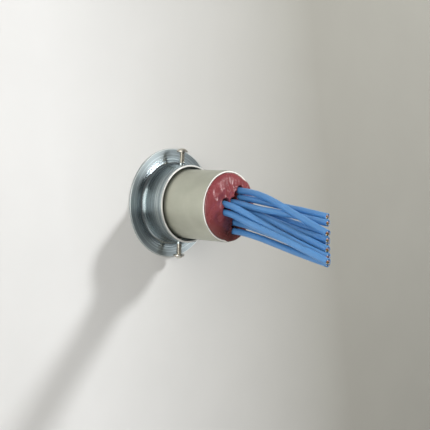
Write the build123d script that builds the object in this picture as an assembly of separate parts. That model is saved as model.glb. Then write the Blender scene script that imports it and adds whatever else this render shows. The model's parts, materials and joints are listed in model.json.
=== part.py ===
from build123d import *
import math
import os

# Firestop cable sleeve: a steel tube through a wall, held by a clamped escutcheon on each face of the wall.
# A bundle of data cables passes through the tube, and both tube ends are packed with fire putty.
# Millimetres, +Z up. The origin is on the sleeve's axis, in the plane of the wall face behind the front
# escutcheon. The sleeve runs along Y, with its front end towards -Y.

# Sleeve tube and the wall that it passes through
sleeve_diameter = 55.8
sleeve_wall = 1.65
front_projection = 66.7
rear_projection = 66.7
wall_thickness = 120.65
sleeve_edge_break = 0.3

# Escutcheon, pressed from sheet: flat flange, shallow dish that rises to the neck, cove and straight neck.
# dish_width and dish_rise are measured from the dish's outer edge to the neck's side.
sheet = 1.5
flange_diameter = 88.9
neck_gap = 2.1
neck_height = 23.8
cove_radius = 3.0
dish_width = 5.7
dish_rise = 0.6
dish_edge_round = 2.0
sheet_edge_round = 0.4

# Set screws, and the bosses on the neck that they are threaded through
screw_diameter = 4.17
screw_length = 13.7
screw_station = 12.2
screw_seat_gap = 0.02
screw_tip_chamfer = 0.5
thread_gap = 0.05
head_diameter = 9.2
head_rim_height = 1.2
head_height = 3.3
recess_span = 4.4
recess_width = 1.0
recess_depth = 1.8
recess_taper = 6.0
boss_diameter = 5.8
boss_height = 1.5
boss_edge_round = 0.35

# Fire putty packed into each end of the tube, crowned outside it
putty_depth = 25.4
putty_crown = 5.0
putty_gap = 0.05

# Data cables
cable_diameter = 5.0
cable_gap = 0.05

# How much of the shorter run each bend of a cable takes up, on either side of its corner
bend_share = 0.45

# Sag of the bundle from the rear putty to the front putty, as (y, drop below the exit)
bundle_sag = [(178, 0.0), (128, 2.0), (72, 3.0), (18, 2.2), (-36, 0.4)]

# Rear cut end of each cable, as (x, y, z)
rear_ends = {
    "data_cable_01": (8.5, 213, 10.5),
    "data_cable_02": (9.5, 209, 4.5),
    "data_cable_03": (-0.5, 215, 0.5),
    "data_cable_04": (6, 211, -2.5),
    "data_cable_05": (-9.5, 214, -0.5),
    "data_cable_06": (-10, 208, -7),
    "data_cable_07": (2.5, 212, -15.5),
    "data_cable_08": (3.5, 210, -22.5),
    "data_cable_09": (11.5, 212, -5.5),
    "data_cable_10": (16.5, 210, -2),
    "data_cable_11": (15.5, 214, -10.5),
    "data_cable_12": (9.5, 207, -13.5),
    "data_cable_13": (-0.5, 209, -7),
}

# Each cable in front of the sleeve, from its exit in the putty to its cut end, as (x, y, z)
front_routes = {
    "data_cable_01": [(7.8, -72, 12.9), (6, -96, 10), (2, -120, 2.6),
                      (-2.5, -144, -5.4), (-7, -171, -14.3)],
    "data_cable_02": [(8.5, -72, 7.4), (9.5, -93, 4.8), (10.5, -114, 1.9),
                      (11.5, -134, -0.3), (12.1, -155, -3.5)],
    "data_cable_03": [(0, -72, 4), (2, -94, -0.5), (4, -116, -2.5), (6, -137, -4.7), (6.6, -160, -7.8)],
    "data_cable_04": [(5.5, -72, 0.5), (5, -96, -5.5), (1.5, -120, -12),
                      (-2.5, -144, -18.4), (-6.5, -171, -25.7)],
    "data_cable_05": [(-8.2, -72, 3), (-7.5, -96, -5.5), (-8, -120, -14.5),
                      (-9, -144, -22.5), (-10.9, -175, -30.6)],
    "data_cable_06": [(-8.2, -72, -3.5), (-10.5, -97, -10.7), (-13.5, -122, -16.6),
                      (-16, -147, -22.7), (-18.1, -181, -33)],
    "data_cable_07": [(3, -72, -11.7), (1, -96, -15.8), (-1.5, -120, -20),
                      (-3, -144, -25.4), (-5.4, -170.5, -31)],
    "data_cable_08": [(3.5, -72, -18.6), (2.5, -96, -21.8), (0.5, -120, -26.6),
                      (-1.5, -144, -31.6), (-3.7, -169.5, -35.8)],
    "data_cable_09": [(11, -72, -2), (10.5, -94, -6.5), (7.5, -116, -11.2),
                      (4.5, -138, -15.6), (2.7, -163.5, -19.8)],
    "data_cable_10": [(15.5, -72, 1.5), (15.5, -93, -3.8), (13.5, -114, -8.3),
                      (11, -134, -11.7), (9.1, -158, -15.3)],
    "data_cable_11": [(15, -72, -7.5), (14.5, -92, -11.5), (13, -112, -15),
                      (10.5, -132, -18), (9.1, -158.5, -22.2)],
    "data_cable_12": [(9, -72, -10.5), (8.5, -94, -14.8), (8.5, -116, -20),
                      (7.5, -137, -25), (5, -162.5, -31.3)],
    "data_cable_13": [(0, -72, -4), (3, -94, -10.3), (4.8, -116, -16.3), (4, -138, -21), (2.8, -163.5, -25.9)],
}

# Sizes that follow from those above
sleeve_radius = sleeve_diameter / 2
bore_radius = sleeve_radius - sleeve_wall
flange_radius = flange_diameter / 2
neck_bore_radius = sleeve_radius + neck_gap
neck_radius = neck_bore_radius + sheet
dish_radius = neck_radius + dish_width
screw_radius = screw_diameter / 2
sleeve_front = -front_projection
sleeve_rear = wall_thickness + rear_projection
middle_of_wall = Plane((0, wall_thickness / 2, 0), z_dir=(0, 1, 0))
along_sleeve = Plane((0, 0, 0), x_dir=(1, 0, 0), z_dir=(0, 1, 0))
full_turn = 360


def sleeve():
    """Plain steel tube, with the edges of both cut ends broken."""
    ring = Circle(sleeve_radius) - Circle(bore_radius)
    tube = extrude(along_sleeve.offset(sleeve_front) * ring, amount=sleeve_rear - sleeve_front)
    ends = tube.faces().sort_by(Axis.Y)
    return chamfer(ends[0].edges() + ends[-1].edges(), sleeve_edge_break)


def escutcheon_section():
    """Half section of the pressed sheet, with radius along X and height above the wall along -Y."""
    front_face = FilletPolyline(
        (flange_radius, -sheet),
        (dish_radius, -sheet),
        (neck_radius, -sheet - dish_rise),
        (neck_radius, -neck_height),
        radius=[dish_edge_round, cove_radius],
    )
    back_face = FilletPolyline(
        (flange_radius, 0),
        (neck_bore_radius, 0),
        (neck_bore_radius, -neck_height),
        radius=cove_radius + sheet,
    )
    flange_edge = Line(front_face @ 0, back_face @ 0)
    neck_rim = Line(front_face @ 1, back_face @ 1)
    section = make_face([front_face, neck_rim, back_face, flange_edge])
    corners = section.vertices().group_by(Axis.X)[-1] + section.vertices().group_by(Axis.Y)[0]
    return fillet(corners, min(sheet_edge_round, 0.4 * sheet))


def screw_planes():
    """Planes across the two set screw axes, on the sleeve's axis, facing up and down."""
    station = (0, -screw_station, 0)
    return [Plane(station, x_dir=(1, 0, 0), z_dir=(0, 0, side)) for side in (1, -1)]


def escutcheon():
    """Pressed ring with two raised bosses on its neck, each bored for a set screw."""
    body = revolve(escutcheon_section(), Axis.Y, full_turn)
    root = neck_bore_radius + sheet / 2
    top = neck_radius + boss_height
    for plane in screw_planes():
        boss = extrude(plane.offset(root) * Circle(boss_diameter / 2), amount=top - root)
        outermost = boss.faces().sort_by(lambda face: (face.center() - plane.origin).length)[-1]
        body += fillet(outermost.edges(), boss_edge_round)
    for plane in screw_planes():
        body -= extrude(plane * Circle(screw_radius + thread_gap), amount=flange_radius)
    return body


def set_screw():
    """Pan head screw along +Z with a cross recess, its tip at the origin."""
    shank = extrude(Circle(screw_radius), amount=screw_length)
    shank = chamfer(shank.edges().sort_by(Axis.Z)[0], screw_tip_chamfer)
    head_radius = head_diameter / 2
    rim_top = screw_length + head_rim_height
    crown = screw_length + head_height
    outline = [
        Line((0, screw_length), (head_radius, screw_length)),
        Line((head_radius, screw_length), (head_radius, rim_top)),
        TangentArc((0, crown), (head_radius, rim_top), tangent=(1, 0)),
        Line((0, crown), (0, screw_length)),
    ]
    head = revolve(Plane.XZ * make_face(outline), Axis.Z, full_turn)
    cross = Rectangle(recess_span, recess_width) + Rectangle(recess_width, recess_span)
    recess = extrude(Plane.XY.offset(crown) * cross, amount=-recess_depth, taper=recess_taper)
    return shank + head - recess


def set_screws():
    """The front escutcheon's two screws, each bearing on the tube."""
    seat = sleeve_radius + screw_seat_gap
    return [plane.offset(seat).location * set_screw() for plane in screw_planes()]


def to_rear(shape):
    """The same piece on the other side of the wall, facing the other way."""
    return mirror(shape, about=middle_of_wall)


def route(rear_end, front):
    """A cable's whole route: its rear end, the bundle's sag through the sleeve, then its own front points."""
    x, _, z = front[0]
    inside = [(x, y, z - drop) for y, drop in bundle_sag]
    return [Vector(point) for point in [rear_end] + inside + front]


def bend_radii(points):
    """The largest radius that the two runs at each corner leave room for."""
    radii = []
    for before, corner, after in zip(points, points[1:], points[2:]):
        run_in = corner - before
        run_out = after - corner
        half_turn = math.radians(run_in.get_angle(run_out)) / 2
        radii.append(bend_share * min(run_in.length, run_out.length) / math.tan(half_turn))
    return radii


def tube_along(path, radius):
    """A round solid along a path of straight runs and arcs."""
    start = Plane(path @ 0, z_dir=path % 0)
    return sweep(start * Circle(radius), path=path)


def putty_section(crown_side, end, inner):
    """Half section of a putty plug in a tube end, with radius along X and the sleeve's axis along Y."""
    radius = bore_radius - putty_gap
    crown_top = end + crown_side * putty_crown
    outline = [
        Line((0, inner), (radius, inner)),
        Line((radius, inner), (radius, end)),
        TangentArc((0, crown_top), (radius, end), tangent=(1, 0)),
        Line((0, crown_top), (0, inner)),
    ]
    return make_face(outline)


def putty_plug(crown_side, end, holes):
    """A putty plug with a hole for each cable."""
    plug = revolve(putty_section(crown_side, end, end - crown_side * putty_depth), Axis.Y, full_turn)
    for hole in holes:
        plug -= hole
    return plug


cable_paths = {}
for name, front in front_routes.items():
    points = route(rear_ends[name], front)
    radii = bend_radii(points)
    cable_paths[name] = FilletPolyline(*points, radius=radii)
    print(name, "bend radii mm:", [round(radius) for radius in radii])

cable_holes = [tube_along(path, cable_diameter / 2 + cable_gap) for path in cable_paths.values()]
front_escutcheon = escutcheon()
front_screws = set_screws()

nodes = {
    "sleeve_tube": sleeve(),
    "front_escutcheon": front_escutcheon,
    "rear_escutcheon": to_rear(front_escutcheon),
    "front_upper_set_screw": front_screws[0],
    "front_lower_set_screw": front_screws[1],
    "rear_upper_set_screw": to_rear(front_screws[0]),
    "rear_lower_set_screw": to_rear(front_screws[1]),
    "front_putty": putty_plug(-1, sleeve_front, cable_holes),
    "rear_putty": putty_plug(1, sleeve_rear, cable_holes),
}
for name, path in cable_paths.items():
    cable = tube_along(path, cable_diameter / 2)
    section = math.pi * cable_diameter ** 2 / 4
    print(name, "length mm:", round(path.length, 1), "volume ratio:", round(cable.volume / section / path.length, 5))
    nodes[name] = cable

os.makedirs("parts", exist_ok=True)
for name, shape in nodes.items():
    export_step(shape, f"parts/{name}.step")
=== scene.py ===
import json
import math

import bmesh
import bpy
from mathutils import Matrix, Vector, noise


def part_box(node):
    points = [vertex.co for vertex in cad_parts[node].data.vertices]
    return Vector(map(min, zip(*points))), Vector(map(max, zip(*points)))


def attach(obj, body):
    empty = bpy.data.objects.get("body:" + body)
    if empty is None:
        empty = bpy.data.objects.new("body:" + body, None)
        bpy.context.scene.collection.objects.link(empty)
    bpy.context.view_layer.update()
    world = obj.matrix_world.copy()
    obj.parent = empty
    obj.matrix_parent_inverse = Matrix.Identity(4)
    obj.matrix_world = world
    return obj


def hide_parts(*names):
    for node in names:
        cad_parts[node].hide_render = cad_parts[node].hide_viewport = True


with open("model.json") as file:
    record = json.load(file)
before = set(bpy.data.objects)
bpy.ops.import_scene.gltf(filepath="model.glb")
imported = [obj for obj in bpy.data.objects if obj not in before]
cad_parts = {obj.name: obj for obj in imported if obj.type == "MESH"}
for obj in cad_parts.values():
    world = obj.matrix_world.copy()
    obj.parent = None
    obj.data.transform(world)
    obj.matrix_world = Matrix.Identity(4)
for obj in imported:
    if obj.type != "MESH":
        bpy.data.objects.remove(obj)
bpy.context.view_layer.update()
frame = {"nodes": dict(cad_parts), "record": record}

# Firestop cable sleeve, dressed round its solids. Lengths are metres, and MM turns a size in millimetres
# into metres. The sleeve runs along Y, with its front end towards -Y.
MM = 0.001
ROOT = "root"

# Sizes shared with the solids
CABLE_DIAMETER = 5.0 * MM
PUTTY_DEPTH = 25.4 * MM
FLANGE_RADIUS = 44.45 * MM
DISH_RADIUS = 37.2 * MM
WALL_THICKNESS = 120.65 * MM

# Camera, as fitted to the photograph
PICTURE_PIXELS = 430
FOCAL_PIXELS = 1000
SENSOR_WIDTH = 36
CAMERA_AZIMUTH = math.radians(-45.1)
CAMERA_ELEVATION = math.radians(2.23)
CAMERA_ROLL = math.radians(1.96)
CAMERA_TARGET = Vector((0, -30 * MM, 0))
CAMERA_DISTANCE = 802.7 * MM
CAMERA_RIGHT = 15.48 * MM
CAMERA_UP = -8.59 * MM

# Cable routes, the same points as the solids have, in millimetres.
# The bundle sags together through the sleeve, as (y, drop below the exit).
BUNDLE_SAG = [(178, 0.0), (128, 2.0), (72, 3.0), (18, 2.2), (-36, 0.4)]
CABLE_ROUTES = {
    "data_cable_01": [(8.5, 213, 10.5), (7.8, -72, 12.9), (6, -96, 10), (2, -120, 2.6),
                      (-2.5, -144, -5.4), (-7, -171, -14.3)],
    "data_cable_02": [(9.5, 209, 4.5), (8.5, -72, 7.4), (9.5, -93, 4.8), (10.5, -114, 1.9),
                      (11.5, -134, -0.3), (12.1, -155, -3.5)],
    "data_cable_03": [(-0.5, 215, 0.5), (0, -72, 4), (2, -94, -0.5), (4, -116, -2.5),
                      (6, -137, -4.7), (6.6, -160, -7.8)],
    "data_cable_04": [(6, 211, -2.5), (5.5, -72, 0.5), (5, -96, -5.5), (1.5, -120, -12),
                      (-2.5, -144, -18.4), (-6.5, -171, -25.7)],
    "data_cable_05": [(-9.5, 214, -0.5), (-8.2, -72, 3), (-7.5, -96, -5.5), (-8, -120, -14.5),
                      (-9, -144, -22.5), (-10.9, -175, -30.6)],
    "data_cable_06": [(-10, 208, -7), (-8.2, -72, -3.5), (-10.5, -97, -10.7), (-13.5, -122, -16.6),
                      (-16, -147, -22.7), (-18.1, -181, -33)],
    "data_cable_07": [(2.5, 212, -15.5), (3, -72, -11.7), (1, -96, -15.8), (-1.5, -120, -20),
                      (-3, -144, -25.4), (-5.4, -170.5, -31)],
    "data_cable_08": [(3.5, 210, -22.5), (3.5, -72, -18.6), (2.5, -96, -21.8), (0.5, -120, -26.6),
                      (-1.5, -144, -31.6), (-3.7, -169.5, -35.8)],
    "data_cable_09": [(11.5, 212, -5.5), (11, -72, -2), (10.5, -94, -6.5), (7.5, -116, -11.2),
                      (4.5, -138, -15.6), (2.7, -163.5, -19.8)],
    "data_cable_10": [(16.5, 210, -2), (15.5, -72, 1.5), (15.5, -93, -3.8), (13.5, -114, -8.3),
                      (11, -134, -11.7), (9.1, -158, -15.3)],
    "data_cable_11": [(15.5, 214, -10.5), (15, -72, -7.5), (14.5, -92, -11.5), (13, -112, -15),
                      (10.5, -132, -18), (9.1, -158.5, -22.2)],
    "data_cable_12": [(9.5, 207, -13.5), (9, -72, -10.5), (8.5, -94, -14.8), (8.5, -116, -20),
                      (7.5, -137, -25), (5, -162.5, -31.3)],
    "data_cable_13": [(-0.5, 209, -7), (0, -72, -4), (3, -94, -10.3), (4.8, -116, -16.3),
                      (4, -138, -21), (2.8, -163.5, -25.9)],
}


# Small tools

def linear(hex_colour):
    """An sRGB hex colour as a linear colour with alpha."""
    channels = [int(hex_colour[i:i + 2], 16) / 255 for i in (1, 3, 5)]
    return [c / 12.92 if c <= 0.04045 else ((c + 0.055) / 1.055) ** 2.4 for c in channels] + [1.0]


def join(tree, node, links):
    """Feeds inputs of a node from output sockets."""
    for key, socket in links.items():
        tree.links.new(socket, node.inputs[key])


def add_node(tree, kind, settings=None, links=None):
    """Adds a node. Settings are properties or input values, and links join an input to an output socket."""
    node = tree.nodes.new(kind)
    for key, value in (settings or {}).items():
        if isinstance(key, int) or key in node.inputs:
            node.inputs[key].default_value = value
        else:
            setattr(node, key, value)
    join(tree, node, links or {})
    return node


def new_material(name):
    """An empty node material with its shader and output, as (material, tree, shader)."""
    material = bpy.data.materials.new(name)
    material.use_nodes = True
    tree = material.node_tree
    tree.nodes.clear()
    shader = add_node(tree, "ShaderNodeBsdfPrincipled")
    add_node(tree, "ShaderNodeOutputMaterial", links={"Surface": shader.outputs["BSDF"]})
    return material, tree, shader


def add_object(name, data):
    """An object in the scene's own collection."""
    item = bpy.data.objects.new(name, data)
    bpy.context.scene.collection.objects.link(item)
    return item


def add_piece(name, data, materials):
    """A mesh or curve as a piece of the object, riding on its one body."""
    piece = add_object(name, data)
    for material in materials:
        data.materials.append(material)
    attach(piece, ROOT)
    return piece


def turn_angles(segments):
    """The angles of evenly spaced points round a circle."""
    return [2 * math.pi * i / segments for i in range(segments)]


def join_loops(build, loops, segments):
    """Skins a stack of vertex loops. A loop of one vertex closes the skin to a point."""
    faces = []
    for lower, upper in zip(loops, loops[1:]):
        for i in range(segments):
            j = (i + 1) % segments
            corners = [lower[i % len(lower)], lower[j % len(lower)],
                       upper[j % len(upper)], upper[i % len(upper)]]
            faces.append(build.faces.new(list(dict.fromkeys(corners))))
    return faces


def finish_mesh(build, name, sharp_degrees=40):
    """Turns a bmesh into a mesh, smooth but for edges that turn by more than the given angle."""
    bmesh.ops.recalc_face_normals(build, faces=build.faces)
    limit = math.radians(sharp_degrees)
    for face in build.faces:
        face.smooth = True
    for edge in build.edges:
        edge.smooth = edge.is_manifold and edge.calc_face_angle(0) < limit
    mesh = bpy.data.meshes.new(name)
    build.to_mesh(mesh)
    build.free()
    return mesh


def smooth_step(low, high, value):
    """0 below low, 1 above high, and an easy curve between."""
    t = min(max((value - low) / (high - low), 0), 1)
    return t * t * (3 - 2 * t)


# Materials

# The flange's rim and the neck's lip are painted pale as a painted highlight on their rounded edges, and bare
# steel shows pale where the tube is cut.
EDGE_HIGHLIGHT_COLOUR = "#e8e9e6"
CUT_EDGE_COLOUR = "#f2f1ec"
# Distance from the nearer wall face at which the ends of neck and tube begin
NECK_END = 23.2 * MM
TUBE_END = 66.3 * MM
# Spin marks are about 0.2 mm apart. They are drawn wider, and in bands, so that they show.
SPIN_MARK = 0.7 * MM
SPIN_BAND = 2 * MM


def end_facing(tree):
    """How squarely a face looks along the sleeve, from 0 on its sides to 1 on its ends."""
    surface = add_node(tree, "ShaderNodeNewGeometry")
    facing = add_node(tree, "ShaderNodeSeparateXYZ", links={0: surface.outputs["Normal"]})
    return add_node(tree, "ShaderNodeMath", {"operation": "ABSOLUTE"}, {0: facing.outputs["Y"]}).outputs[0]


def cut_edge(tree, axes, square, reach, least_turn, full_turn):
    """1 on faces that lie further than reach from the wall and look along the sleeve, as cut ends do."""
    end_on = add_node(tree, "ShaderNodeMapRange", {"From Min": least_turn, "From Max": full_turn},
                      {"Value": square})
    centred = add_node(tree, "ShaderNodeMath", {"operation": "SUBTRACT", 1: WALL_THICKNESS / 2},
                       {0: axes.outputs["Y"]})
    away = add_node(tree, "ShaderNodeMath", {"operation": "ABSOLUTE"}, {0: centred.outputs[0]})
    beyond = add_node(tree, "ShaderNodeMath", {"operation": "GREATER_THAN", 1: WALL_THICKNESS / 2 + reach},
                      {0: away.outputs[0]})
    return add_node(tree, "ShaderNodeMath", {"operation": "MULTIPLY"},
                    {0: end_on.outputs[0], 1: beyond.outputs[0]}).outputs[0]


def zinc_plate():
    """Bright zinc plate on spun steel: a cool mirror broken by fine circles, with a painted highlight along
    its edges.
    """
    material, tree, shader = new_material("spun zinc-plated steel")
    place = add_node(tree, "ShaderNodeTexCoord")
    axes = add_node(tree, "ShaderNodeSeparateXYZ", links={0: place.outputs["Object"]})
    flat = add_node(tree, "ShaderNodeCombineXYZ", links={"X": axes.outputs["X"], "Y": axes.outputs["Z"]})
    radius = add_node(tree, "ShaderNodeVectorMath", {"operation": "LENGTH"},
                      {0: flat.outputs[0]}).outputs["Value"]
    # Radius plus length counts the marks across the flange and on along the neck.
    along = add_node(tree, "ShaderNodeMath", {"operation": "ADD"}, {0: radius, 1: axes.outputs["Y"]})
    marks, bands = [add_node(tree, "ShaderNodeTexNoise",
                             {"noise_dimensions": "1D", "Scale": 1 / spacing, "Detail": 2.0},
                             {"W": along.outputs[0]})
                    for spacing in (SPIN_MARK, SPIN_BAND)]
    ring = add_node(tree, "ShaderNodeMapRange", {"From Min": 0.35, "From Max": 0.65},
                    {"Value": bands.outputs[0]})
    tint = add_node(tree, "ShaderNodeMix", {"data_type": "RGBA", 6: linear("#8d999e"), 7: linear("#c6d0d2")},
                    {0: ring.outputs[0]})
    # The dished middle and the neck are polished, and the flat of the flange is duller.
    polish = add_node(tree, "ShaderNodeMapRange", {"To Min": 0.3, "To Max": 0.12}, {"Value": ring.outputs[0]})
    dull = add_node(tree, "ShaderNodeMapRange",
                    {"From Min": DISH_RADIUS - 0.5 * MM, "From Max": DISH_RADIUS + 1.5 * MM, "To Max": 0.23},
                    {"Value": radius})
    rough = add_node(tree, "ShaderNodeMath", {"operation": "ADD"}, {0: polish.outputs[0], 1: dull.outputs[0]})
    bump = add_node(tree, "ShaderNodeBump", {"Strength": 0.4, "Distance": 0.05 * MM},
                    {"Height": marks.outputs[0]})
    around = add_node(tree, "ShaderNodeTangent", {"direction_type": "RADIAL", "axis": "Y"})
    # The painted highlight lies on the rim of the flange's faces and the lip of the neck.
    square = end_facing(tree)
    face = add_node(tree, "ShaderNodeMapRange", {"From Min": 0.2, "From Max": 0.5}, {"Value": square})
    border = add_node(tree, "ShaderNodeMapRange",
                      {"From Min": FLANGE_RADIUS - 1.0 * MM, "From Max": FLANGE_RADIUS - 0.4 * MM,
                       "To Max": 0.45},
                      {"Value": radius})
    rim = add_node(tree, "ShaderNodeMath", {"operation": "MULTIPLY"},
                   {0: face.outputs[0], 1: border.outputs[0]})
    lip = cut_edge(tree, axes, square, NECK_END, least_turn=0.15, full_turn=0.5)
    edge = add_node(tree, "ShaderNodeMath", {"operation": "MAXIMUM"}, {0: rim.outputs[0], 1: lip}).outputs[0]
    # The edges are mixed towards a pale colour and made less metallic, as a painted highlight.
    colour = add_node(tree, "ShaderNodeMix", {"data_type": "RGBA", 7: linear(EDGE_HIGHLIGHT_COLOUR)},
                      {0: edge, 6: tint.outputs[2]})
    shine = add_node(tree, "ShaderNodeMix", {"data_type": "FLOAT", 3: 0.4}, {0: edge, 2: rough.outputs[0]})
    metal = add_node(tree, "ShaderNodeMapRange", {"To Min": 1.0, "To Max": 0.35}, {"Value": edge})
    shader.inputs["Anisotropic"].default_value = 0.8
    shader.inputs["Anisotropic Rotation"].default_value = 0.25
    join(tree, shader, {"Base Color": colour.outputs[2], "Metallic": metal.outputs[0],
                        "Roughness": shine.outputs[0], "Normal": bump.outputs[0],
                        "Tangent": around.outputs[0]})
    return material


def galvanised_conduit():
    """Thin-wall conduit, galvanised and satin: a soft grey with faint draw lines and pale cut ends."""
    material, tree, shader = new_material("satin galvanised steel")
    place = add_node(tree, "ShaderNodeTexCoord")
    drawn = add_node(tree, "ShaderNodeMapping", {"Scale": (1, 0.04, 1)}, {"Vector": place.outputs["Object"]})
    lines = add_node(tree, "ShaderNodeTexNoise", {"Scale": 1 / (1.2 * MM), "Detail": 2.0},
                     {"Vector": drawn.outputs[0]})
    cloud = add_node(tree, "ShaderNodeTexNoise", {"Scale": 1 / (16 * MM), "Detail": 4.0},
                     {"Vector": place.outputs["Object"]})
    tint = add_node(tree, "ShaderNodeMix", {"data_type": "RGBA", 6: linear("#a7a99b"), 7: linear("#c6c7b9")},
                    {0: cloud.outputs[0]})
    rough = add_node(tree, "ShaderNodeMapRange", {"To Min": 0.36, "To Max": 0.48},
                     {"Value": lines.outputs[0]})
    bump = add_node(tree, "ShaderNodeBump", {"Strength": 0.12, "Distance": 0.02 * MM},
                    {"Height": lines.outputs[0]})
    axes = add_node(tree, "ShaderNodeSeparateXYZ", links={0: place.outputs["Object"]})
    edge = cut_edge(tree, axes, end_facing(tree), TUBE_END, least_turn=0.7, full_turn=0.95)
    colour = add_node(tree, "ShaderNodeMix", {"data_type": "RGBA", 7: linear(CUT_EDGE_COLOUR)},
                      {0: edge, 6: tint.outputs[2]})
    metal = add_node(tree, "ShaderNodeMapRange", {"To Min": 0.75, "To Max": 0.0}, {"Value": edge})
    join(tree, shader, {"Base Color": colour.outputs[2], "Metallic": metal.outputs[0],
                        "Roughness": rough.outputs[0], "Normal": bump.outputs[0]})
    return material


def nickel_screw():
    """Nickel-plated screw steel: warm, bright, with a little dirt in its grain."""
    material, tree, shader = new_material("nickel-plated steel")
    place = add_node(tree, "ShaderNodeTexCoord")
    cloud = add_node(tree, "ShaderNodeTexNoise", {"Scale": 1 / (1.5 * MM), "Detail": 3.0},
                     {"Vector": place.outputs["Object"]})
    tint = add_node(tree, "ShaderNodeMix", {"data_type": "RGBA", 6: linear("#b7b2a7"), 7: linear("#dcd9d0")},
                    {0: cloud.outputs[0]})
    rough = add_node(tree, "ShaderNodeMapRange", {"To Min": 0.22, "To Max": 0.36},
                     {"Value": cloud.outputs[0]})
    shader.inputs["Metallic"].default_value = 1.0
    join(tree, shader, {"Base Color": tint.outputs[2], "Roughness": rough.outputs[0]})
    return material


def red_putty():
    """Oily fire putty, pressed by hand: deep red, glossy in patches, with painted shade that makes it browner
    at its foot and dark in creases.
    """
    material, tree, shader = new_material("fire putty")
    place = add_node(tree, "ShaderNodeTexCoord")
    shade_and_patches = add_node(tree, "ShaderNodeVertexColor", {"layer_name": SHADE_AND_PATCH_LAYER})
    cloud = add_node(tree, "ShaderNodeTexNoise", {"Scale": 1 / (7 * MM), "Detail": 4.0},
                     {"Vector": place.outputs["Object"]})
    grain = add_node(tree, "ShaderNodeTexNoise", {"Scale": 1 / (0.9 * MM), "Detail": 3.0},
                     {"Vector": place.outputs["Object"]})
    red = add_node(tree, "ShaderNodeMix", {"data_type": "RGBA", 6: linear("#6b3135"), 7: linear("#8e4549")},
                   {0: cloud.outputs[0]})
    axes = add_node(tree, "ShaderNodeSeparateXYZ", links={0: place.outputs["Object"]})
    # Painted shade: lower down, the red is mixed towards brown, as on a face turned down from the light.
    low = add_node(tree, "ShaderNodeMapRange", {"From Min": 4 * MM, "From Max": -26 * MM, "To Max": 0.7},
                   {"Value": axes.outputs["Z"]})
    foot_shade = add_node(tree, "ShaderNodeMix", {"data_type": "RGBA", 7: linear("#64342f")},
                     {0: low.outputs[0], 6: red.outputs[2]})
    # Painted shade in creases, hollows and round the cables, and the dark patches, darken the putty towards
    # near black.
    shaded = add_node(tree, "ShaderNodeMix", {"data_type": "RGBA", 7: linear("#140a0a")},
                    {0: shade_and_patches.outputs[0], 6: foot_shade.outputs[2]})
    rough = add_node(tree, "ShaderNodeMapRange",
                     {"From Min": 0.3, "From Max": 0.7, "To Min": 0.15, "To Max": 0.34},
                     {"Value": cloud.outputs[0]})
    bump = add_node(tree, "ShaderNodeBump", {"Strength": 0.12, "Distance": 0.12 * MM},
                    {"Height": grain.outputs[0]})
    shader.inputs["IOR"].default_value = 1.5
    join(tree, shader, {"Base Color": shaded.outputs[2], "Roughness": rough.outputs[0],
                        "Normal": bump.outputs[0]})
    return material


def blue_jacket():
    """Extruded PVC cable jacket: clean mid blue, softly shiny, with a faint grain."""
    material, tree, shader = new_material("blue PVC jacket")
    place = add_node(tree, "ShaderNodeTexCoord")
    cloud = add_node(tree, "ShaderNodeTexNoise", {"Scale": 1 / (12 * MM), "Detail": 3.0},
                     {"Vector": place.outputs["Object"]})
    fine = add_node(tree, "ShaderNodeTexNoise", {"Scale": 1 / (0.8 * MM), "Detail": 2.0},
                    {"Vector": place.outputs["Object"]})
    tint = add_node(tree, "ShaderNodeMix", {"data_type": "RGBA", 6: linear("#427ab3"), 7: linear("#548bc2")},
                    {0: cloud.outputs[0]})
    rough = add_node(tree, "ShaderNodeMapRange", {"To Min": 0.28, "To Max": 0.42}, {"Value": fine.outputs[0]})
    bump = add_node(tree, "ShaderNodeBump", {"Strength": 0.1, "Distance": 0.05 * MM},
                    {"Height": fine.outputs[0]})
    shader.inputs["IOR"].default_value = 1.53
    join(tree, shader, {"Base Color": tint.outputs[2], "Roughness": rough.outputs[0],
                        "Normal": bump.outputs[0]})
    return material


def pale_paint():
    """Matt backdrop paint: pale, with painted shade that makes it a little darker to the right and above, and
    clear when seen from behind.
    """
    material, tree, shader = new_material("pale matt paint")
    place = add_node(tree, "ShaderNodeTexCoord")
    # Painted shade: the paint darkens to the right and above, as light falls off across the wall.
    fade = add_node(tree, "ShaderNodeVectorMath", {"operation": "DOT_PRODUCT", 1: (0.9, 0.0, 0.2)},
                    {0: place.outputs["Object"]})
    share = add_node(tree, "ShaderNodeMapRange", {"From Min": -100 * MM, "From Max": 190 * MM},
                     {"Value": fade.outputs["Value"]})
    tint = add_node(tree, "ShaderNodeMix", {"data_type": "RGBA", 6: linear("#dcdddd"), 7: linear("#9a9992")},
                    {0: share.outputs[0]})
    cloud = add_node(tree, "ShaderNodeTexNoise", {"Scale": 1 / (60 * MM), "Detail": 3.0},
                     {"Vector": place.outputs["Object"]})
    mottle = add_node(tree, "ShaderNodeMapRange", {"To Min": 0.96, "To Max": 1.04},
                      {"Value": cloud.outputs[0]})
    tone = add_node(tree, "ShaderNodeVectorMath", {"operation": "SCALE"},
                    {0: tint.outputs[2], "Scale": mottle.outputs[0]})
    shader.inputs["Roughness"].default_value = 0.9
    join(tree, shader, {"Base Color": tone.outputs[0]})
    clear = add_node(tree, "ShaderNodeBsdfTransparent")
    side = add_node(tree, "ShaderNodeNewGeometry")
    mix = add_node(tree, "ShaderNodeMixShader",
                   links={0: side.outputs["Backfacing"], 1: shader.outputs[0], 2: clear.outputs[0]})
    output = next(node for node in tree.nodes if node.type == "OUTPUT_MATERIAL")
    join(tree, output, {"Surface": mix.outputs[0]})
    return material


# Cables

def cable_points(name):
    """A cable's whole route in metres: rear end, sag through the sleeve, then its front points."""
    rear_end, *front = CABLE_ROUTES[name]
    x, _, z = front[0]
    inside = [(x, y, z - drop) for y, drop in BUNDLE_SAG]
    return [Vector(point) * MM for point in [rear_end] + inside + front]


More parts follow.
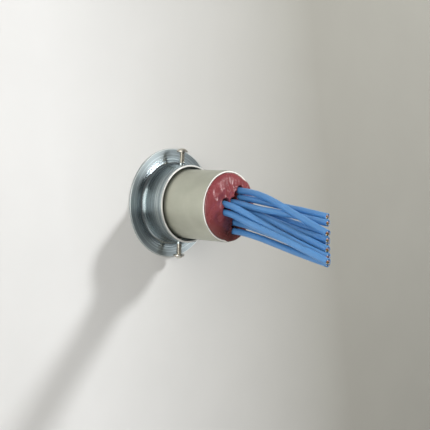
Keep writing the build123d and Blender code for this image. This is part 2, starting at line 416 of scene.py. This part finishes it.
def cable(name, jacket, ends):
    """A cable as a smooth spline on its route. The cut ends that it is given are not used."""
    points = cable_points(name)
    curve = bpy.data.curves.new(name + "_jacket", "CURVE")
    curve.dimensions = "3D"
    spline = curve.splines.new("NURBS")
    spline.points.add(len(points) - 1)
    for control, point in zip(spline.points, points):
        control.co = (*point, 1)
    spline.order_u = 3
    spline.use_endpoint_u = True
    curve.resolution_u = 12
    curve.bevel_depth = CABLE_DIAMETER / 2
    curve.bevel_resolution = 8
    piece = add_piece(name + "_jacket", curve, [jacket])
    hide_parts(name)


def cable_hole(name, putty_name):
    """Where a cable passes through the face of the putty in one end, as (x, z)."""
    points = cable_points(name)
    if putty_name == "front_putty":
        crossing = points[1 + len(BUNDLE_SAG)]
    else:
        rear_end, inside = points[:2]
        crossing = inside.lerp(rear_end, (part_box(putty_name)[1].y - inside.y) / (rear_end.y - inside.y))
    return crossing.x, crossing.z


# Cable ends: the jacket is cut square, with four twisted pairs standing just proud of it

JACKET_WALL = 0.5 * MM
END_RECESS = 0.7 * MM
WIRE_RADIUS = 0.46 * MM
WIRE_PROUD = 0.35 * MM
CORE_RADIUS = 0.26 * MM
CORE_PROUD = 0.15 * MM
PAIR_CENTRE = 1.08 * MM
# Each pair is turned further than the one before by this angle in radians.
PAIR_TWIST = 0.6
PAIR_COLOURS = ["#2c5fae", "#d9772b", "#3c8a4e", "#7a5236"]
JACKET_SEGMENTS = 32
WIRE_SEGMENTS = 12
CORE_SEGMENTS = 10
# Places of a cut end's materials, in the order that end_materials lists them
JACKET_PLACE = 0
INSIDE_PLACE = 1
FIRST_WIRE_PLACE = 2
WHITE_WIRE_PLACE = FIRST_WIRE_PLACE + len(PAIR_COLOURS)
COPPER_PLACE = WHITE_WIRE_PLACE + 1


def add_tube_wall(build, rings, material_index, segments):
    """Joins rings of (radius, height) about Z into a wall. A ring of no radius is a point."""
    loops = []
    for radius, height in rings:
        if radius == 0:
            loops.append([build.verts.new((0, 0, height))])
        else:
            loops.append([build.verts.new((radius * math.cos(a), radius * math.sin(a), height))
                          for a in turn_angles(segments)])
    for face in join_loops(build, loops, segments):
        face.material_index = material_index
    return [vert for loop in loops for vert in loop]


def cable_end_mesh(name):
    """A cut cable end, pointing along +Z, with its tip plane at height 0."""
    outer = CABLE_DIAMETER / 2
    inner = outer - JACKET_WALL
    core_top = WIRE_PROUD + CORE_PROUD
    jacket_rings = [(outer, -END_RECESS), (outer, 0), (inner, 0), (inner, -END_RECESS)]
    inside_rings = [(inner, -END_RECESS), (0, -END_RECESS)]
    wire_rings = [(WIRE_RADIUS, -END_RECESS), (WIRE_RADIUS, WIRE_PROUD), (0, WIRE_PROUD)]
    core_rings = [(CORE_RADIUS, WIRE_PROUD), (CORE_RADIUS, core_top), (0, core_top)]
    build = bmesh.new()
    add_tube_wall(build, jacket_rings, JACKET_PLACE, JACKET_SEGMENTS)
    add_tube_wall(build, inside_rings, INSIDE_PLACE, JACKET_SEGMENTS)
    for pair in range(len(PAIR_COLOURS)):
        angle = math.pi / 4 + pair * math.pi / 2
        centre = Vector((math.cos(angle), math.sin(angle), 0)) * PAIR_CENTRE
        twist = angle + math.pi / 2 + pair * PAIR_TWIST
        apart = Vector((math.cos(twist), math.sin(twist), 0)) * WIRE_RADIUS
        for middle, place in ((centre + apart, FIRST_WIRE_PLACE + pair), (centre - apart, WHITE_WIRE_PLACE)):
            skin = add_tube_wall(build, wire_rings, place, WIRE_SEGMENTS)
            core = add_tube_wall(build, core_rings, COPPER_PLACE, CORE_SEGMENTS)
            bmesh.ops.translate(build, verts=skin + core, vec=middle)
    return finish_mesh(build, name)


def plain_material(name, colour, roughness, metallic=0.0):
    """A plain moulded or drawn surface: one colour and one shine."""
    material, _, shader = new_material(name)
    shader.inputs["Base Color"].default_value = linear(colour)
    shader.inputs["Roughness"].default_value = roughness
    shader.inputs["Metallic"].default_value = metallic
    return material


def end_materials(jacket):
    """What a cut end shows: jacket, dark inside, four coloured wires, their white mates and bare copper."""
    wires = [plain_material("wire insulation " + colour[1:], colour, 0.45) for colour in PAIR_COLOURS]
    return [jacket, plain_material("shadowed cable core", "#2a2c30", 0.8), *wires,
            plain_material("white wire insulation", "#dcdcd6", 0.45),
            plain_material("drawn copper", "#c98a5e", 0.3, 1.0)]


def cable_ends(name, materials):
    """The two cut ends of a cable."""
    points = cable_points(name)
    ends = []
    for side, tip, inward in (("rear", points[0], points[1]), ("front", points[-1], points[-2])):
        mesh = cable_end_mesh(name + "_" + side + "_end")
        turn = (tip - inward).to_track_quat("Z", "Y").to_matrix().to_4x4()
        mesh.transform(Matrix.Translation(tip) @ turn)
        ends.append(add_piece(name + "_" + side + "_end", mesh, materials))
    return ends


# Fire putty, pressed in by hand

# Name of the putty's vertex layer of painted shade and dark patches
SHADE_AND_PATCH_LAYER = "shade_and_patches"
PUTTY_RINGS = 110
PUTTY_SEGMENTS = 320
PUTTY_SHARP_DEGREES = 80
PUTTY_RADIUS = 26.2 * MM
PUTTY_CROWN = 5.2 * MM
CROWN_FLATNESS = 3
CROWN_SHOULDER = 0.55
# The smear over the tube's edge is centred on this angle below +X. It starts and is full at these cosines.
SMEAR_RADIUS = 27.7 * MM
SMEAR_TURN = math.radians(22)
SMEAR_RANGE = (0.2, 0.45)
SMEAR_RAGGED = 0.4 * MM
SMEAR_LOBES = 4
LUMP_SPACING = 9 * MM
LUMP_HEIGHT = 1.3 * MM
DIMPLE_SPACING = 3.6 * MM
DIMPLE_HEIGHT = 0.45 * MM
# Streaks set in over these heights and widths, so they lie in the upper part.
STREAK_SPACING = 2.2 * MM
STREAK_LENGTH = 13 * MM
STREAK_HEIGHT = 0.5 * MM
STREAK_RISE = (-2 * MM, 9 * MM)
STREAK_SIDE = (-16 * MM, -5 * MM)
TRENCH_WIDTH = 0.9 * MM
TRENCH_DEPTH = 2.6 * MM
COLLAR_WIDTH = 2.2 * MM
COLLAR_HEIGHT = 0.9 * MM
# Painted shade darkens dents over these depths, and hollows to just past their edges.
DENT_DARK = 0.6
DENT_RANGE = (0.4 * MM, 2.0 * MM)
HOLLOW_DARK_SPREAD = 1.2
# Dark patches are this strong, give or take the spread from grain to grain.
PATCH_GRAIN_SPACING = 1.1 * MM
PATCH_STRENGTH = 0.7
PATCH_SPREAD = 0.9
# A hollow may go below the sleeve's end only inside this share of the radius. The rim stays covered.
HOLLOW_LIMIT = 0.85
RIM_COVER = 0.05 * MM
# Seeds of the two faces, and steps that keep the patterns of a face apart
PUTTY_SEEDS = {"front_putty": 2.3, "rear_putty": 11.7}
DIMPLE_STEP = 7
STREAK_STEP = 13
PATCH_GRAIN_STEP = 19
# Thumb marks as (x, z, radius, depth) in millimetres, by the end of the sleeve that they are in
THUMB_MARKS = {
    "front_putty": [(-6, -13, 4.5, 1.0), (-13, 3, 3.5, 0.8), (-16, -9, 3.0, 0.6)],
    "rear_putty": [(-12, 12, 4.0, 1.4), (14, 15, 3.5, 1.2), (-15, -10, 4.0, 1.2), (10, -19, 3.0, 1.0)],
}
# Hollows left open beside the cables, as (x, z, half width, half height, depth) in millimetres
HOLLOWS = {
    "front_putty": [(3.2, 8.6, 2.0, 3.0, 8.0), (5.2, -8.5, 2.0, 3.2, 6.0), (1.2, -15.2, 1.8, 1.2, 4.0)],
    "rear_putty": [(13, -15, 2.2, 1.6, 4.0)],
}
# Dark patches, as (x, z, radius, strength), with the lengths in millimetres
DARK_PATCHES = {
    "front_putty": [(0, -17.5, 8.0, 1.0), (-9, -10, 4.0, 0.3), (-14, 5, 4.5, 0.3), (12, -19, 7.0, 0.9)],
    "rear_putty": [(9, -14, 7.0, 0.5), (-10, -3, 4.0, 0.3)],
}


def putty_reach(angle, seed):
    """How far the putty spreads at an angle: it stays in the bore but for the foot and the far side."""
    over = smooth_step(*SMEAR_RANGE, math.cos(angle + SMEAR_TURN))
    edge = Vector((SMEAR_LOBES * math.cos(angle), SMEAR_LOBES * math.sin(angle), seed))
    ragged = SMEAR_RAGGED * noise.noise(edge)
    return PUTTY_RADIUS + (SMEAR_RADIUS - PUTTY_RADIUS) * over + ragged * over


def putty_height(x, z, share, holes, name, seed):
    """Height of the pressed face above the sleeve's end, and how dark it is painted (0 to 1): painted shade
    in dents, hollows and round the cables, and dark patches.
    """
    crown = PUTTY_CROWN * (1 - share ** CROWN_FLATNESS) ** CROWN_SHOULDER
    lump = LUMP_HEIGHT * noise.noise(Vector((x / LUMP_SPACING, z / LUMP_SPACING, seed)))
    dimple = DIMPLE_HEIGHT * noise.noise(Vector((x / DIMPLE_SPACING, z / DIMPLE_SPACING, seed + DIMPLE_STEP)))
    ridge = 1 - 2 * abs(noise.noise(Vector((x / STREAK_SPACING, z / STREAK_LENGTH, seed + STREAK_STEP))))
    pulled = smooth_step(*STREAK_RISE, z) * smooth_step(*STREAK_SIDE, x)
    streak = STREAK_HEIGHT * (ridge - 0.5) * pulled
    dent = 0.0
    dark = 0.0
    for mark_x, mark_z, radius, depth in THUMB_MARKS[name]:
        away = math.hypot(x / MM - mark_x, z / MM - mark_z) / radius
        dent -= depth * MM * math.exp(-away * away)
    for hollow_x, hollow_z, half_width, half_height, depth in HOLLOWS[name]:
        away = math.hypot((x / MM - hollow_x) / half_width, (z / MM - hollow_z) / half_height)
        dent -= depth * MM * math.exp(-away ** 4)
        # Painted shade fills the hollow.
        dark = max(dark, math.exp(-(away / HOLLOW_DARK_SPREAD) ** 6))
    collar = 0.0
    trench = 0.0
    for hole_x, hole_z in holes:
        away = max(math.hypot(x - hole_x, z - hole_z) - CABLE_DIAMETER / 2, 0)
        close = math.exp(-(away / TRENCH_WIDTH) ** 2)
        collar = max(collar, COLLAR_HEIGHT * math.exp(-(away / COLLAR_WIDTH) ** 2))
        trench = min(trench, -TRENCH_DEPTH * close)
        # Painted shade in the gap round the cable.
        dark = max(dark, close)
    detail = lump + dimple + streak + dent + collar + trench
    fade = 1 - share ** 6
    # Painted shade in the dents.
    dark = max(dark, DENT_DARK * smooth_step(*DENT_RANGE, -(dent + dimple + streak)))
    grain = noise.noise(Vector((x / PATCH_GRAIN_SPACING, z / PATCH_GRAIN_SPACING, seed + PATCH_GRAIN_STEP)))
    patch_strength = PATCH_STRENGTH + PATCH_SPREAD * grain
    # Grainy dark patches darken the putty's colour.
    for patch_x, patch_z, radius, strength in DARK_PATCHES[name]:
        away = math.hypot(x / MM - patch_x, z / MM - patch_z) / radius
        dark = max(dark, strength * patch_strength * math.exp(-away * away))
    floor = RIM_COVER if share > HOLLOW_LIMIT else -PUTTY_DEPTH / 2
    return max(crown + detail * fade, floor), min(max(dark, 0), 1)


def putty(name, holes, material):
    """A plug of putty in one end of the sleeve, with its face pressed round the cables at the given holes."""
    seed = PUTTY_SEEDS[name]
    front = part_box(name)[1].y < 0
    outward = -1 if front else 1
    end_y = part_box("sleeve_tube")[0 if front else 1].y
    build = bmesh.new()
    # A vertex layer carries the painted shade and the dark patches to the putty's colour.
    shade = build.verts.layers.float_color.new(SHADE_AND_PATCH_LAYER)
    angles = turn_angles(PUTTY_SEGMENTS)
    reaches = [putty_reach(angle, seed) for angle in angles]

    def face_vert(x, z, share):
        height, shade_and_patches = putty_height(x, z, share, holes, name, seed)
        vert = build.verts.new((x, end_y + outward * height, z))
        vert[shade] = (shade_and_patches, shade_and_patches, shade_and_patches, 1)
        return vert

    loops = [[face_vert(0, 0, 0)]]
    for ring in range(1, PUTTY_RINGS + 1):
        share = ring / PUTTY_RINGS
        loops.append([face_vert(reach * share * math.cos(a), reach * share * math.sin(a), share)
                      for a, reach in zip(angles, reaches)])
    for inward in (0, PUTTY_DEPTH):
        side_y = end_y - outward * inward
        loops.append([build.verts.new((PUTTY_RADIUS * math.cos(a), side_y, PUTTY_RADIUS * math.sin(a)))
                      for a in angles])
    loops.append([build.verts.new((0, end_y - outward * PUTTY_DEPTH, 0))])
    join_loops(build, loops, PUTTY_SEGMENTS)
    mesh = finish_mesh(build, name + "_pressed", PUTTY_SHARP_DEGREES)
    piece = add_piece(name + "_pressed", mesh, [material])
    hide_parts(name)


# Set screws, with a real thread and a cross recess

SCREW_LENGTH = 13.7 * MM
THREAD_RADIUS = 2.085 * MM
THREAD_DEPTH = 0.46 * MM
THREAD_PITCH = 0.794 * MM
# Steps are along one pitch, and segments are round the screw.
THREAD_STEPS = 10
THREAD_SEGMENTS = 36
THREAD_STEEPNESS = 1.7
THREAD_ROOT = 0.1
TIP_CHAMFER = 0.5 * MM
HEAD_RADIUS = 4.6 * MM
HEAD_RIM = 1.2 * MM
HEAD_HEIGHT = 3.3 * MM
HEAD_ROUND = 0.25 * MM
HEAD_SEGMENTS = 64
CROWN_STEPS = 12
SCREW_SHARP_DEGREES = 35
RECESS_SPAN = 4.4 * MM
RECESS_WIDTH = 1.0 * MM
RECESS_DEPTH = 1.8 * MM
RECESS_TAPER = 0.75


def thread_radius(height, angle):
    """Radius of the thread at a height above the tip: a V with a flat crest and root, run out at the tip."""
    turn = (height / THREAD_PITCH - angle / (2 * math.pi)) % 1
    rise = min(max(THREAD_STEEPNESS * (1 - abs(2 * turn - 1)) - THREAD_ROOT, 0), 1)
    radius = THREAD_RADIUS - THREAD_DEPTH * (1 - rise)
    return min(radius, THREAD_RADIUS - THREAD_DEPTH + height * THREAD_DEPTH / TIP_CHAMFER)


def screw_head():
    """A pan head with a cross recess cut into its crown, sitting on height SCREW_LENGTH."""
    crown_radius = HEAD_RADIUS - HEAD_ROUND
    crown_rise = HEAD_HEIGHT - HEAD_RIM
    sphere = (crown_radius ** 2 + crown_rise ** 2) / (2 * crown_rise)
    rings = [(0, 0), (crown_radius, 0), (HEAD_RADIUS, HEAD_ROUND), (HEAD_RADIUS, HEAD_RIM - HEAD_ROUND)]
    for step in range(CROWN_STEPS):
        radius = crown_radius * (1 - step / CROWN_STEPS)
        rings.append((radius, HEAD_HEIGHT - sphere + math.sqrt(sphere ** 2 - radius ** 2)))
    rings.append((0, HEAD_HEIGHT))
    head = bmesh.new()
    add_tube_wall(head, [(radius, SCREW_LENGTH + height) for radius, height in rings], 0, HEAD_SEGMENTS)
    tool = bmesh.new()
    bottom = SCREW_LENGTH + HEAD_HEIGHT - RECESS_DEPTH
    top = SCREW_LENGTH + HEAD_HEIGHT + RECESS_DEPTH
    for long_x, long_y in ((RECESS_SPAN, RECESS_WIDTH), (RECESS_WIDTH, RECESS_SPAN)):
        for vert in bmesh.ops.create_cube(tool, size=1.0)["verts"]:
            narrow, height = (RECESS_TAPER, bottom) if vert.co.z < 0 else (1.0, top)
            vert.co = (vert.co.x * long_x * narrow, vert.co.y * long_y * narrow, height)
    body, cutter = [add_object(name, finish_mesh(build, name))
                    for name, build in (("screw_head", head), ("screw_recess", tool))]
    cut = body.modifiers.new("recess", "BOOLEAN")
    cut.operation = "DIFFERENCE"
    cut.solver = "EXACT"
    cut.use_self = True
    cut.object = cutter
    shaped = body.evaluated_get(bpy.context.evaluated_depsgraph_get())
    mesh = bpy.data.meshes.new_from_object(shaped)
    for item in (body, cutter):
        bpy.data.objects.remove(item)
    return mesh


def set_screw(name, head, material):
    """A machine screw in place of its plain solid, head up or down as the solid is."""
    low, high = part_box(name)
    upper = high.z > 0
    build = bmesh.new()
    build.from_mesh(head)
    steps = round(SCREW_LENGTH / THREAD_PITCH * THREAD_STEPS)
    loops = [[build.verts.new((0, 0, 0))]]
    for step in range(steps + 1):
        height = SCREW_LENGTH * step / steps
        loop = []
        for angle in turn_angles(THREAD_SEGMENTS):
            radius = thread_radius(height, angle)
            loop.append(build.verts.new((radius * math.cos(angle), radius * math.sin(angle), height)))
        loops.append(loop)
    join_loops(build, loops, THREAD_SEGMENTS)
    mesh = finish_mesh(build, name + "_threaded", SCREW_SHARP_DEGREES)
    flip = Matrix.Identity(4) if upper else Matrix.Rotation(math.pi, 4, "Y")
    tip = Vector(((low.x + high.x) / 2, (low.y + high.y) / 2, low.z if upper else high.z))
    mesh.transform(Matrix.Translation(tip) @ flip)
    piece = add_piece(name + "_threaded", mesh, [material])
    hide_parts(name)


# Stage, light and camera

LIGHT_AIM = Vector((0, -40 * MM, 0))
WALL_HALF = 1.6
FLOOR_DROP = 1200 * MM


def add_stage(paint):
    """A pale wall in the plane of the front flange's back, and a pale floor below."""
    half, low = WALL_HALF, -FLOOR_DROP
    sheets = {
        "backdrop_wall": [(-half, 0, low), (half, 0, low), (half, 0, half), (-half, 0, half)],
        "floor": [(-half, -half, low), (half, -half, low), (half, half, low), (-half, half, low)],
    }
    for name, corners in sheets.items():
        mesh = bpy.data.meshes.new(name)
        mesh.from_pydata(corners, [], [(0, 1, 2, 3)])
        mesh.materials.append(paint)
        sheet = add_object(name, mesh)
        sheet.visible_shadow = False


def bearing(azimuth, elevation):
    """A direction from the object, with azimuth in degrees to the right of straight ahead of its front."""
    a, e = math.radians(azimuth), math.radians(elevation)
    return Vector((math.sin(a) * math.cos(e), -math.cos(a) * math.cos(e), math.sin(e)))


def add_area_light(name, direction, distance, size, power, colour, on_matt=True, on_gloss=True):
    """A soft oval lamp that faces the object, with its width and height in metres."""
    lamp = bpy.data.lights.new(name, "AREA")
    lamp.shape = "ELLIPSE"
    lamp.size, lamp.size_y = size
    lamp.energy = power
    lamp.color = linear(colour)[:3]
    rig = add_object(name, lamp)
    rig.location = LIGHT_AIM + direction * distance
    rig.rotation_euler = (-direction).to_track_quat("-Z", "Y").to_euler()
    rig.visible_diffuse = on_matt
    rig.visible_glossy = on_gloss


def add_world():
    """A dim studio: dark walls and a paler ceiling, so that the metal has something dark to reflect."""
    world = bpy.data.worlds.new("dim studio")
    bpy.context.scene.world = world
    world.use_nodes = True
    tree = world.node_tree
    tree.nodes.clear()
    place = add_node(tree, "ShaderNodeTexCoord")
    axes = add_node(tree, "ShaderNodeSeparateXYZ", links={0: place.outputs["Generated"]})
    ramp = add_node(tree, "ShaderNodeValToRGB", links={0: axes.outputs["Z"]})
    stops = ramp.color_ramp.elements
    stops[0].position, stops[0].color = 0.35, linear("#858585")
    stops[1].position, stops[1].color = 0.95, linear("#b8b8b8")
    sky = add_node(tree, "ShaderNodeBackground", {"Strength": 0.5}, {"Color": ramp.outputs[0]})
    add_node(tree, "ShaderNodeOutputWorld", links={"Surface": sky.outputs[0]})


def add_camera():
    """The photograph's camera."""
    sine, cosine = math.sin(CAMERA_AZIMUTH), math.cos(CAMERA_AZIMUTH)
    back = Vector((sine * math.cos(CAMERA_ELEVATION), -cosine * math.cos(CAMERA_ELEVATION),
                   math.sin(CAMERA_ELEVATION)))
    level = Vector((cosine, sine, 0))
    upright = back.cross(level)
    right = level * math.cos(CAMERA_ROLL) + upright * math.sin(CAMERA_ROLL)
    up = upright * math.cos(CAMERA_ROLL) - level * math.sin(CAMERA_ROLL)
    eye = CAMERA_TARGET + back * CAMERA_DISTANCE + right * CAMERA_RIGHT + up * CAMERA_UP
    lens = bpy.data.cameras.new("photo camera")
    lens.sensor_width = SENSOR_WIDTH
    lens.lens = SENSOR_WIDTH * FOCAL_PIXELS / PICTURE_PIXELS
    lens.clip_start = 0.01
    camera = add_object("photo camera", lens)
    camera.matrix_world = Matrix.Translation(eye) @ Matrix((right, up, back)).transposed().to_4x4()
    bpy.context.scene.camera = camera


# The object

jacket = blue_jacket()
cut_materials = end_materials(jacket)
for cable_name in CABLE_ROUTES:
    cable(cable_name, jacket, cable_ends(cable_name, cut_materials))

node_materials = {"galvanised_steel": galvanised_conduit(), "zinc_plated_steel": zinc_plate(),
                  "screw_steel": nickel_screw(), "fire_putty": red_putty()}
for part in frame["record"]["subparts"]:
    if part["material_slot"] in node_materials:
        node_object = frame["nodes"][part["node"]]
        node_object.data.materials.clear()
        node_object.data.materials.append(node_materials[part["material_slot"]])

for putty_name in PUTTY_SEEDS:
    holes = [cable_hole(name, putty_name) for name in CABLE_ROUTES]
    putty(putty_name, holes, node_materials["fire_putty"])
head = screw_head()
for part in frame["record"]["subparts"]:
    if part["material_slot"] == "screw_steel":
        set_screw(part["node"], head, node_materials["screw_steel"])

add_stage(pale_paint())
add_world()
# Lamps, each with its direction, distance and size in metres, power in watts and colour
add_area_light("fill", bearing(-22, 8), 1.15, (0.8, 0.8), 7.0, "#fffaf3", on_gloss=False)
add_area_light("side window", bearing(-79, 5), 1.2, (0.45, 1.5), 7.7, "#fffdf8")
add_area_light("side strip", bearing(-79, 5), 1.15, (0.25, 1.3), 1.8, "#fffdf8", on_matt=False)
add_area_light("key", bearing(36, 33), 1.2, (0.14, 0.14), 10.8, "#ffffff", on_gloss=False)
add_area_light("glint", bearing(28.5, 18), 1.2, (0.2, 0.2), 2.8, "#ffffff", on_matt=False)
add_area_light("near card", bearing(-41, 0), 1.25, (0.35, 1.0), 0.9, "#f4f8f8", on_matt=False)
add_area_light("card", bearing(44, 14), 1.25, (0.32, 1.5), 1.2, "#f4f8f8")
add_area_light("rear window", bearing(150, 14), 1.2, (0.75, 0.9), 6, "#f4f7ff")
add_area_light("rear card", bearing(-140, 8), 1.2, (0.7, 1.2), 2, "#e8f0f4")
add_camera()

bpy.context.scene.view_settings.view_transform = "Standard"
